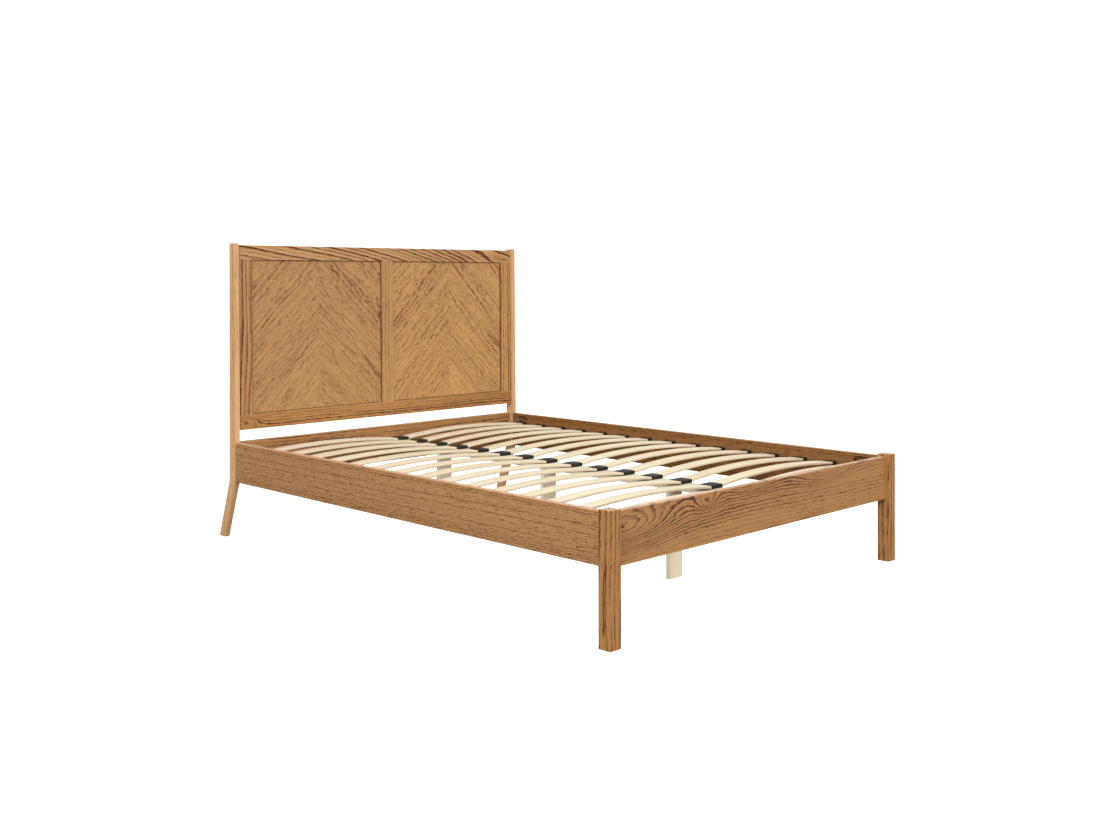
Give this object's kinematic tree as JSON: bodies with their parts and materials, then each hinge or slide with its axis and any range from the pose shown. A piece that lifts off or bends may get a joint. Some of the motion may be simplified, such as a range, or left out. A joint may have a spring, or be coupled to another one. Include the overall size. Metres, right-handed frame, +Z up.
{
  "type": "bed frame",
  "caption": "Oak bed frame with a low framed headboard of chevron-veneer panels, splayed headboard posts, square foot legs, deep rails and bowed sprung slats in plastic caps on a centre rail.",
  "frame": {"origin": "centre of the bed's footprint on the floor", "axes": "+Z up; +Y along the bed towards the headboard, so the foot end faces -Y; +X across the bed, so left pieces are at -X"},
  "size_m": [1.588, 2.1974, 1.203],
  "materials": {
    "post_oak": "straight-grained honey oak, clear matt lacquer",
    "frame_oak": "golden-brown oak, clear matt lacquer",
    "panel_oak": "oak veneer strips laid in chevrons, clear matt lacquer",
    "rail_oak": "rustic brown oak with dark wandering grain, clear matt lacquer",
    "leg_oak": "brown oak, clear matt lacquer",
    "pine": "bare pale softwood",
    "birch": "pale laminated birch, thin clear coat",
    "cap_plastic": "charcoal moulded plastic",
    "zinc_steel": "bright zinc-plated steel"
  },
  "bodies": {
    "root": {"headboard_post_left": "post_oak", "headboard_post_right": "post_oak", "headboard_top_rail": "frame_oak", "headboard_bottom_rail": "frame_oak", "headboard_stile_left": "frame_oak", "headboard_stile_right": "frame_oak", "headboard_muntin": "frame_oak", "headboard_panel_left": "panel_oak", "headboard_panel_right": "panel_oak", "headboard_lower_rail": "rail_oak", "side_rail_left": "rail_oak", "side_rail_right": "rail_oak", "foot_rail": "rail_oak", "foot_leg_left": "leg_oak", "foot_leg_right": "leg_oak", "centre_rail": "pine", "centre_leg_1": "pine", "centre_leg_2": "pine", "centre_leg_3": "pine", "slat_left_01": "birch", "slat_left_02": "birch", "slat_left_03": "birch", "slat_left_04": "birch", "slat_left_05": "birch", "slat_left_06": "birch", "slat_left_07": "birch", "slat_left_08": "birch", "slat_left_09": "birch", "slat_left_10": "birch", "slat_left_11": "birch", "slat_left_12": "birch", "slat_left_13": "birch", "slat_left_14": "birch", "slat_left_15": "birch", "slat_right_01": "birch", "slat_right_02": "birch", "slat_right_03": "birch", "slat_right_04": "birch", "slat_right_05": "birch", "slat_right_06": "birch", "slat_right_07": "birch", "slat_right_08": "birch", "slat_right_09": "birch", "slat_right_10": "birch", "slat_right_11": "birch", "slat_right_12": "birch", "slat_right_13": "birch", "slat_right_14": "birch", "slat_right_15": "birch", "slat_holders_left": "cap_plastic", "slat_holders_right": "cap_plastic", "slat_holders_centre": "cap_plastic", "bed_bolt_foot_left": "zinc_steel", "bed_bolt_foot_right": "zinc_steel", "bed_bolt_head_left": "zinc_steel", "bed_bolt_head_right": "zinc_steel", "half_moon_washer_foot_left": "zinc_steel", "half_moon_washer_foot_right": "zinc_steel", "half_moon_washer_head_left": "zinc_steel", "half_moon_washer_head_right": "zinc_steel"}
  },
  "joints": []
}
